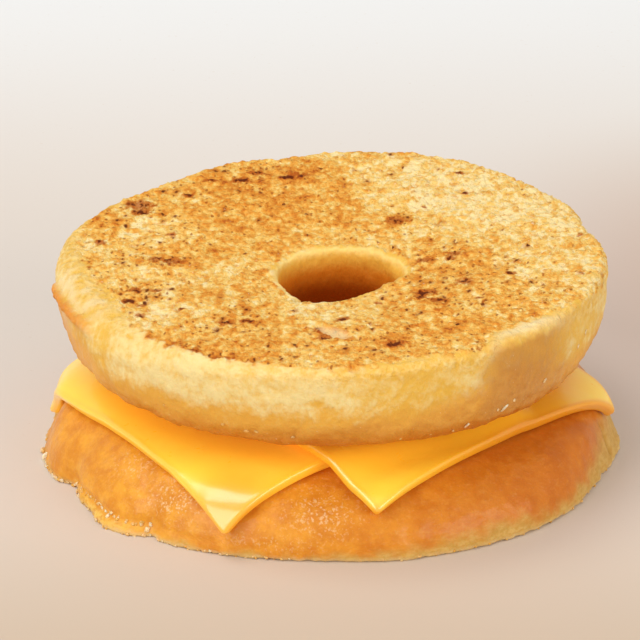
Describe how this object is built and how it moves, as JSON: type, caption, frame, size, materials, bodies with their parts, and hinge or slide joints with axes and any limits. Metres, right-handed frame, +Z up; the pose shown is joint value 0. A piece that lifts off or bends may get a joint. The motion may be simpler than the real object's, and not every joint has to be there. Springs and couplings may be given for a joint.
{
  "type": "grilled cheese donut sandwich",
  "caption": "Glazed ring doughnut cut through, turned inside out, griddled and closed on cheese slices: a hot sandwich with a hole.",
  "frame": {"origin": "on the surface the sandwich lies on, at the middle of its bounding box's underside", "axes": "+Z up through the hole; seen from the side where the cheese corners hang down, +X is to the right and +Y is away"},
  "size_m": [0.099, 0.0967, 0.0362],
  "materials": {
    "glazed_dough": "golden brown fried dough under a thin melted sugar glaze",
    "cheese": "soft processed cheese, smooth and waxy",
    "griddled_dough": "porous crumb browned on a griddle, with pale dough and glaze round the side"
  },
  "bodies": {
    "root": {"lower_half": "glazed_dough", "under_slice": "cheese", "over_slice": "cheese", "upper_half": "griddled_dough"}
  },
  "joints": []
}
